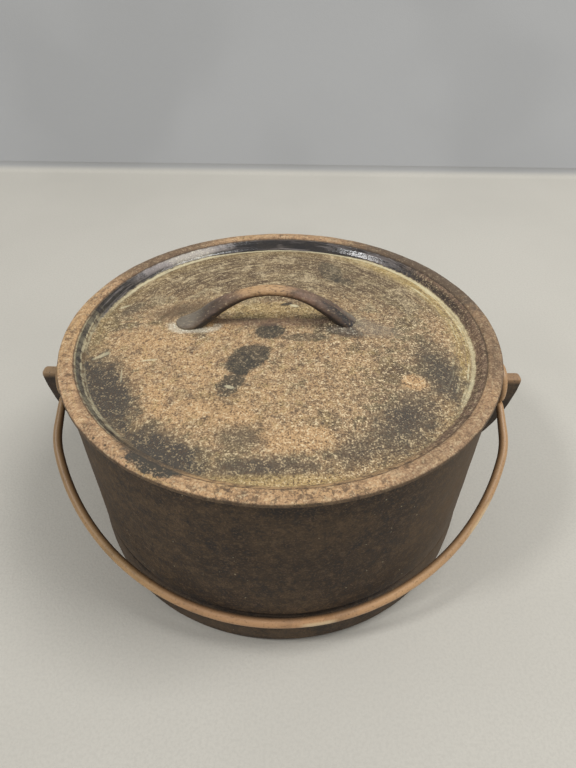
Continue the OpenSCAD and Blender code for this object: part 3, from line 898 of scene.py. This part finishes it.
def lid_iron(colours):
    """Old rust on the lid: tan plate with soot and stains, olive brushed back, dust at its edge, slope and rim."""
    f = Finish("lid_iron")
    r = (f.x * f.x + f.y * f.y).root()
    clouds = f.noise(46, 5, 0.62)
    patches = f.noise(15, 5, 0.65, warp=0.4)
    blots = f.noise(5.5, 4, 0.7)
    grain = f.noise(1, 2, 0.6) * 0.62 + f.noise(2.6, 2, 0.6) * 0.38
    fine = f.noise(0.8, 0, 0.5)
    dark_grain, pale_grain, pits = grain.step(0.49, 0.39), grain.step(0.52, 0.63), fine.step(0.42, 0.3)
    ragged = blots * 1.5 - 0.75
    back = (f.y + ragged * 24).step(8, 62)
    right = (f.x + ragged * 30).step(-25, 45) * (1 - back)
    arcs = f.noise(1, 4, 0.7, f.vector(r * 0.42, f.y.maths("ARCTAN2", f.y, f.x) * 2.6, 0))
    # The plate's edge looks a little further in at the back, where dust and gloss creep over it
    reach = r + f.spot(0, 116, 60, 14, 0, ragged * 0.2, 0.8) * 2.2
    inside = (reach + ragged).step(117.2, 116)
    wide = (reach + ragged * 7).step(100, 111) * inside
    thick = strongest([f.spot(92, 56, 66, 30, 118, ragged, 0.5), f.spot(112, -30, 54, 18, 98, ragged, 0.5)])
    shade = f.ramp(clouds * 0.4 + patches * 0.45 + blots * 0.15, (
        (0.38, colours.umber), (0.45, colours.olive), (0.49, colours.tan), (0.58, colours.ochre)))
    shade = f.blend(shade, colours.ochre, marks(f, WARM, ragged, 0.5) * (0.3 + patches))
    shade = f.blend(shade, colours.rim_brown, blots.step(0.51, 0.64) * 0.6)
    shade = f.blend(shade, colours.mustard, blots.step(0.47, 0.34) * 0.4)
    shade = f.blend(shade, colours.olive, back * (0.35 + arcs * 0.9))
    shade = f.blend(shade, colours.umber, back * arcs.step(0.5, 0.57) * 0.9)
    shade = f.blend(shade, colours.straw, back * arcs.step(0.44, 0.36) * 0.6)
    shade = f.blend(shade, colours.mustard, f.spot(-3, 21, 36, 9, 0, ragged, 0.4) * 0.6)
    shade = f.blend(shade, colours.umber, back * patches.step(0.49, 0.58) * 0.7)
    shade = f.blend(shade, colours.straw, back * patches.step(0.46, 0.36) * 0.45)
    shade = f.blend(shade, colours.mustard, wide * (0.25 + thick * 0.75) * arcs.step(0.36, 0.5))
    zones = marks(f, ZONES, ragged * 1.5, 0.8)
    shade = f.blend(shade, colours.olive, zones.step(0, 0.5) * 0.5)
    zones = zones.step(0.05, 0.9) * (0.6 + patches * 0.9)
    shade = f.blend(shade, colours.soot, zones * (1 - pale_grain * 0.7))
    shade = f.blend(shade, colours.soot, right * patches.step(0.46, 0.58) * 0.3)
    shade = f.blend(shade, colours.ochre, marks(f, BARE, ragged * 0.8, 0.3))
    shade = f.blend(shade, colours.mustard, f.spot(4, -113, 52, 3.6, 1, ragged * 0.8, 0.5) * 0.5)
    # Speckle is strongest on the right, where pale and dark grains stand side by side
    crust = wide * thick
    shade = f.blend(shade, colours.umber, dark_grain * (0.8 + right * 0.1 - back * 0.1) * (1 - crust * 0.2))
    shade = f.blend(shade, colours.straw, pale_grain * (0.8 + right * 0.25 - back * 0.2) * (1 - zones * 0.75))
    shade = f.blend(shade, colours.black, pits * (0.3 + right * 0.25) * (1 - crust * 0.3))
    shade = f.blend(shade, colours.olive, crust * arcs.step(0.47, 0.38) * 0.6)
    shade = f.blend(shade, colours.cream, crust * arcs.step(0.53, 0.62) * 0.8)
    shade = f.blend(shade, colours.stain, marks(f, TAILS, ragged * 1.5, 0.15) * (1 - pale_grain * 0.5))
    stains = marks(f, STAINS, ragged * 0.6, 0.14) * 0.93
    shade = f.blend(shade, colours.stain, stains * (1 - pale_grain * 0.3))
    shade = f.blend(shade, colours.black, stains * dark_grain * 0.6)
    # White bloom hugs the front of the left foot, and soot lies round the right one
    spine = f.x.maths("MINIMUM", f.x.maths("MAXIMUM", f.x, -59), -46)
    off, over = f.x - spine, f.y - 8
    away = (off * off + over * over).root() + ragged * 2.6
    bloom = away.step(6, 7.4) * away.step(12.8, 9.8) * (f.y + f.x * 0.12).step(1, -3)
    # Painted shadow: the plate is darker behind the left foot
    shade = f.blend(shade, colours.umber, f.spot(-60, 22, 20, 9, 12, ragged, 0.5) * (0.4 + patches * 0.6))
    shade = f.blend(shade, colours.chalk_and_highlight, bloom * (0.4 + pale_grain * 0.8))
    shade = f.blend(shade, colours.smoke, f.spot(56, 3.5, 17, 7, 176, ragged, 0.5) * 0.5)
    shade = f.blend(shade, colours.black, f.spot(39, -1.5, 12, 4.5, 168, ragged, 0.4) * 0.7)
    shade = f.blend(shade, colours.chalk_and_highlight, f.spot(36, 0, 10, 2.6, 168, ragged, 0.6) * (0.05 + pale_grain * 0.5))
    shade = f.blend(shade, colours.grip, f.spot(-4, 7, 42, 4, 1, ragged * 0.2, 0.15) * 0.5)
    shade = f.blend(shade, colours.black, f.spot(3, 28.5, 4, 1.6, 20, ragged, 0.2) * 0.8)
    shade = f.blend(shade, colours.cream, marks(f, SCRATCHES, ragged * 1.2, 0.3))
    # A line of dust lies thick at the back and right
    thin = (reach + ragged * 1.6).step(113.2, 115) * inside
    lines = strongest([thick * 0.8, back]) * (0.4 + arcs.step(0.38, 0.5) * 0.35 + pale_grain * 0.25)
    shade = f.blend(shade, colours.cream, thin * lines)
    # The slope is glossy black at the back, and at the left has a black line of painted shade in the crevice under the
    # rim's edge
    slope = (reach + ragged * 1.4).step(116, 117.2)
    shade = f.blend(shade, colours.olive, slope * 0.75 * (1 - zones * 0.7))
    shade = f.blend(shade, colours.cream, slope * f.x.step(-60, -95) * arcs.step(0.4, 0.5) * 0.55)
    shade = f.blend(shade, colours.grip, slope * f.x.step(30, 80) * 0.75)
    shade = f.blend(shade, colours.ochre, slope * f.y.step(-84, -108) * (0.4 + patches * 0.6))
    shade = f.blend(shade, colours.umber, slope * blots.step(0.48, 0.6) * 0.75)
    edge = r + ragged * 1.2
    sooty = f.spot(98, 66, 56, 18, 123, ragged, 0.5) * edge.step(120.5, 118.5)
    shade = f.blend(shade, colours.black, slope * sooty * 0.7)
    flecks = slope * f.x.step(20, 70)
    shade = f.blend(shade, colours.straw, flecks * pale_grain * 0.5)
    shade = f.blend(shade, colours.black, flecks * dark_grain * 0.5)
    gloss = slope * (f.y + ragged * 26 - f.x * 0.3).step(34, 66)
    # Painted shade: a black line in the crevice just inside the rim at the left
    line = edge.step(118.4, 119) * edge.step(121.2, 120.6) * f.x.step(-50, -80) * (0.2 + patches * 1.2)
    corner = f.spot(-108, 50, 32, 5, 64, ragged * 1.4, 0.3)
    wet = strongest([gloss, line, corner * slope])
    shade = f.blend(shade, colours.black, wet * (0.8 + patches * 0.3))
    # Painted sheen: pale streaks on the glossy black at the back
    shade = f.blend(shade, colours.painted_sheen, gloss * arcs.step(0.5, 0.62) * 0.35)
    # Painted reflection: a pale sheen on the slope at the back left, with a painted highlight in its middle
    painted_sheen = slope * f.spot(-74, 93, 38, 11, 39, ragged, 0.5) * edge.step(117.2, 118.6)
    shade = f.blend(shade, colours.painted_sheen, painted_sheen * (0.65 + pale_grain * 0.5))
    sheen = slope * f.spot(-72, 95.5, 20, 3.6, 30, ragged, 0.6)
    shade = f.blend(shade, colours.chalk_and_highlight, sheen * (0.3 + pale_grain * 0.6))
    wet = wet * (1 - painted_sheen * 0.5)
    rim = edge.step(120.8, 122)
    rim_shade = f.blend(colours.rim_tan, colours.ochre, patches.step(0.5, 0.65) * 0.5)
    rim_shade = f.blend(rim_shade, colours.ochre, f.spot(-4, -122, 70, 8, 0, ragged * 1.4, 0.5) * patches * 0.9)
    rim_shade = f.blend(rim_shade, colours.ochre, f.spot(-127, 4, 44, 9, 92, ragged, 0.5) * 0.85)
    rim_shade = f.blend(rim_shade, colours.umber, arcs.step(0.5, 0.6) * 0.3)
    rim_shade = f.blend(rim_shade, colours.mustard, arcs.step(0.44, 0.36) * 0.4)
    shaded = marks(f, RIM_SHADES, ragged * 1.2, 0.5)
    rim_shade = f.blend(rim_shade, colours.rim_brown, shaded)
    rim_shade = f.blend(rim_shade, colours.umber, blots.step(0.51, 0.66) * 0.7)
    rim_shade = f.blend(rim_shade, colours.straw, blots.step(0.46, 0.34) * (0.3 - shaded * 0.3))
    rim_shade = f.blend(rim_shade, colours.umber, dark_grain * 0.55)
    rim_shade = f.blend(rim_shade, colours.straw, pale_grain * (0.5 - shaded * 0.3))
    holes = f.cells(5.5).step(0.17, 0.09) * f.spot(-88, -86, 60, 12, 134, ragged, 0.6)
    rim_shade = f.blend(rim_shade, colours.stain, holes * 0.85)
    scabs = f.noise(3.2, 4, 0.75, warp=0.5).step(0.53, 0.58)
    near = f.spot(-8, -127, 74, 7, 2, ragged, 0.5)
    rim_shade = f.blend(rim_shade, colours.umber, scabs * (0.2 + near * 0.55))
    flaked = f.spot(-57, -108, 14, 7, 155, ragged * 1.1, 0.12)
    rim_shade = f.blend(rim_shade, colours.stain, flaked * (1 - pale_grain * 0.5))
    side = f.z.step(138.9, 138.1)
    rim_shade = f.blend(rim_shade, colours.wall, side * 0.75)
    shade = f.blend(shade, rim_shade, rim)
    # Soot runs from the plate over the slope into the flaked place
    spill = f.spot(-59, -103, 18, 7, 150, ragged * 1.5, 0.5)
    shade = f.blend(shade, colours.soot, spill * (1 - pale_grain * 0.6) * 0.8)
    wet = wet * (1 - rim)
    roughness = (0.66 + grain * 0.3 - stains * 0.1) * (1 - wet) + wet * (0.08 + grain * 0.16)
    relief = (grain * 0.9 + fine * 0.3) * (1 - wet * 0.75) + blots * (1 - wet * 0.7) + patches * 0.6
    relief = relief - stains * 0.3 - flaked * 0.8 - holes * rim * 0.6
    return f.finish(shade, roughness, relief, 0.5)


def handle_iron(colours):
    """Iron of the lid's handle: worn reddish brown with a bright patch at its top, grey and black feet, and painted
    shade under the arch.
    """
    f = Finish("handle_iron")
    clouds = f.noise(9, 4, 0.6)
    grain = f.noise(1.1, 2, 0.6, f.vector(f.x * 0.45, f.y, f.z * 0.7))
    ragged = clouds * 1.6 - 0.8
    shade = f.blend(colours.grip, colours.umber, clouds.step(0.42, 0.62) * 0.75)
    shade = f.blend(shade, colours.ochre, f.spot(-13, 8, 17, 9, 0, ragged, 0.5) * f.z.step(158, 163.5) * 0.8)
    paddle = f.spot(-59, 8, 16, 10, 0, ragged * 0.6, 0.4)
    shade = f.blend(shade, colours.smoke, paddle * 0.9)
    # Painted shade darkens the underside of the arch. The middle of the arch lies at 162.3 less 22 times the distance
    # squared
    along = (f.x + 6) / 45
    above = f.z - 162.3 + along * along * 22
    under = (above + (f.y - 8) * 0.45).step(-1.6, -3.4)
    shade = f.blend(shade, colours.black, under * 0.85)
    shade = f.blend(shade, colours.black, f.spot(-43, 4, 9, 6, 0, ragged, 0.5) * 0.5)
    streaks = f.noise(2.2, 3, 0.6, f.vector(f.x * 0.25, f.y, f.z * 0.25))
    burnt = f.spot(39, 8, 15, 9, 0, ragged * 1.2, 0.4) * (0.1 + streaks.step(0.36, 0.56) * 0.4 + f.y.step(10, 5) * 0.6)
    shade = f.blend(shade, colours.black, burnt)
    tail = f.x.step(33, 42) * f.y.step(5, 10) * 0.85
    shade = f.blend(shade, colours.smoke, tail)
    shade = f.blend(shade, colours.olive, f.x.step(-46, -56) * f.y.step(9, 14) * 0.7)
    shade = f.blend(shade, colours.olive, f.x.step(43.5, 48.5) * 0.6)
    shade = f.blend(shade, colours.umber, grain.step(0.48, 0.32) * (0.75 - paddle * 0.3))
    shade = f.blend(shade, colours.straw, grain.step(0.56, 0.74) * (0.32 - paddle * 0.1 - under * 0.3))
    return f.finish(shade, 0.5 + grain * 0.25, grain * 0.8 + clouds * 0.7, 0.4)


def bail_steel(colours):
    """Bail wire: smooth thin rust with darker streaks along it, painted shade on its inner side, and a few glossy
    places with a painted highlight.
    """
    f = Finish("bail_steel")
    clouds = f.noise(22, 4, 0.6)
    grain = f.noise(1.2, 3, 0.6)
    shade = f.blend(colours.bail, colours.bail_dark, clouds.step(0.48, 0.7) * 0.5)
    shade = f.blend(shade, colours.mustard, f.x.step(-40, -90) * 0.3)
    shade = f.blend(shade, colours.bail_dark, f.x.step(-90, -140) * 0.35)
    shade = f.blend(shade, colours.ochre, f.x.step(20, 80) * 0.5)
    shade = f.blend(shade, colours.bail_dark, grain.step(0.45, 0.3) * 0.5)
    shade = f.blend(shade, colours.straw, grain.step(0.6, 0.78) * 0.3)
    inner = Tone(f, f.node("ShaderNodeAttribute", {"attribute_name": "inner_side"}).outputs["Fac"])
    # Painted shade darkens the wire's inner side
    shade = f.blend(shade, colours.bail_dark, inner.step(0, 0.8) * 0.6)
    shade = f.blend(shade, colours.black, inner.step(0.5, 1) * 0.5)
    # Two places on the bow are glossy, with a painted highlight on their outer side
    glint_spots = strongest([f.spot(24, -128, 9, 12, 0, 0, 0.4), f.spot(121, -78, 11, 7, 60, 0, 0.4)])
    shade = f.blend(shade, colours.straw, glint_spots * inner.step(-0.1, -0.7) * 0.6)
    roughness = (0.26 + clouds * 0.2 + grain * 0.12) * (1 - glint_spots * 0.6)
    return f.finish(shade, roughness, grain * 0.4 + clouds * 0.3, 0.12)


# The stage

# Measured for the photograph's frame, in lid radii from the middle of the lid's rim
EYE_PLACE = Vector((0.0521, -2.195, 1.5605))
PITCH, HEADING, ROLL = math.radians(40.70), math.radians(-0.48), math.radians(0.56)
FOCAL_PIXELS, LONG_SIDE, SENSOR = 577, 768, 36


def floor_cloth(colours):
    """Plain pale floor with a faint unevenness, which turns to grey where it rises behind the pot, with broad patches
    of painted shade from soft folds there.
    """
    f = Finish("floor_cloth")
    dim = tuple(0.86 * c for c in colours.floor)
    shade = f.blend(colours.floor, dim, f.noise(220, 3, 0.5).step(0.35, 0.7) * 0.45)
    shade = f.blend(shade, dim, f.noise(1.8, 2, 0.6).step(0.4, 0.66) * 0.45)
    # Painted shade of soft folds: broad darker patches on the backdrop
    grey = f.blend(colours.backdrop, tuple(0.8 * c for c in colours.backdrop), f.noise(260, 2, 0.5).step(0.42, 0.66) * 0.4)
    shade = f.blend(shade, grey, f.z.step(1, 9))
    return f.finish(shade, 0.9 + f.noise(3, 2, 0.5) * 0.05, f.noise(1.5, 2, 0.5), 0.15, 0.2)


def add_lamp(name, place, target, size, watts, shade=(1, 1, 1)):
    """Square soft lamp at a place, facing a target."""
    light = bpy.data.lights.new(name, "AREA")
    light.shape, light.size, light.energy, light.color = "SQUARE", size, watts, shade
    lamp = bpy.data.objects.new(name, light)
    lamp.location = place
    lamp.rotation_euler = (Vector(target) - Vector(place)).to_track_quat("-Z", "Y").to_euler()
    bpy.context.scene.collection.objects.link(lamp)


class POT_OT_stage(bpy.types.Operator):
    """Lay the floor and set the lamps, the world and the camera"""
    bl_idname = "pot.stage"
    bl_label = "Stage"

    def execute(self, context):
        scene = context.scene
        lid = scene.lid_sizes
        back, bend = 0.612, 0.014
        curve = arc(back, bend, bend, -90, 0, 24)
        side = np.vstack([stretch([-3, 0], [back, 0], 0.4), curve, stretch([back + bend, bend], [back + bend, 3], 0.5)])
        columns = np.linspace(-4, 4, 17)
        points = np.stack([
            np.broadcast_to(columns, (len(side), len(columns))), np.broadcast_to(side[:, :1], (len(side), len(columns))),
            np.broadcast_to(side[:, 1:], (len(side), len(columns)))], -1).reshape(-1, 3)
        floor = add_piece("floor", points, grid_quads(len(side), len(columns)))
        floor.data.materials.append(floor_cloth(scene.pot_colours))

        middle = Vector((0, 0, 0.08))
        add_lamp("lamp_right", (0.95, -0.1, 1.9), middle, 0.8, 22)
        add_lamp("lamp_left", (-1.18, -0.6, 1.9), middle, 0.26, 12)

        world = bpy.data.worlds.new("soft_studio")
        world.use_nodes = True
        world.node_tree.nodes["Background"].inputs["Color"].default_value = (0.98, 0.99, 1, 1)
        world.node_tree.nodes["Background"].inputs["Strength"].default_value = 0.5
        scene.world = world
        scene.view_settings.view_transform = "Standard"

        camera = bpy.data.objects.new("camera", bpy.data.cameras.new("camera"))
        camera.data.lens = FOCAL_PIXELS * SENSOR / LONG_SIDE
        camera.data.sensor_width = SENSOR
        top = Vector((0, 0, lid.seat + lid.edge))
        camera.location = top + EYE_PLACE * lid.radius
        camera.rotation_euler = Euler((math.pi / 2 - PITCH, 0, -HEADING), "XYZ")
        roll = Vector((0, 0, 1))
        camera.rotation_euler = (
            camera.rotation_euler.to_quaternion() @ Euler((0, 0, ROLL)).to_quaternion()).to_euler()
        scene.collection.objects.link(camera)
        scene.camera = camera
        return {"FINISHED"}


class POT_PT_panel(bpy.types.Panel):
    """Lists the pot's pieces"""
    bl_label = "Cast Iron Pot"
    bl_idname = "POT_PT_panel"
    bl_space_type = "VIEW_3D"
    bl_region_type = "UI"
    bl_category = "Pot"

    def draw(self, context):
        for operator in STEPS:
            self.layout.operator(operator.bl_idname)
        for group in (context.scene.pot_sizes, context.scene.lid_sizes, context.scene.bail_sizes,
                      context.scene.pot_colours):
            for name in group.__annotations__:
                self.layout.prop(group, name)


STEPS = (POT_OT_body, POT_OT_ears, POT_OT_lid, POT_OT_handle, POT_OT_bail, POT_OT_stage)
GROUPS = {"pot_sizes": PotSizes, "lid_sizes": LidSizes, "bail_sizes": BailSizes, "pot_colours": PotColours}
CLASSES = (*GROUPS.values(), *STEPS, POT_PT_panel)


def register():
    """Registers the classes and puts the sizes and colours on the scene."""
    for cls in CLASSES:
        bpy.utils.register_class(cls)
    for name, group in GROUPS.items():
        setattr(bpy.types.Scene, name, bpy.props.PointerProperty(type=group))


def unregister():
    """Takes the sizes, the colours and the classes away again."""
    for name in GROUPS:
        delattr(bpy.types.Scene, name)
    for cls in reversed(CLASSES):
        bpy.utils.unregister_class(cls)


def main():
    register()
    for step in STEPS:
        group, name = step.bl_idname.split(".")
        getattr(getattr(bpy.ops, group), name)()


if __name__ == "__main__":
    main()
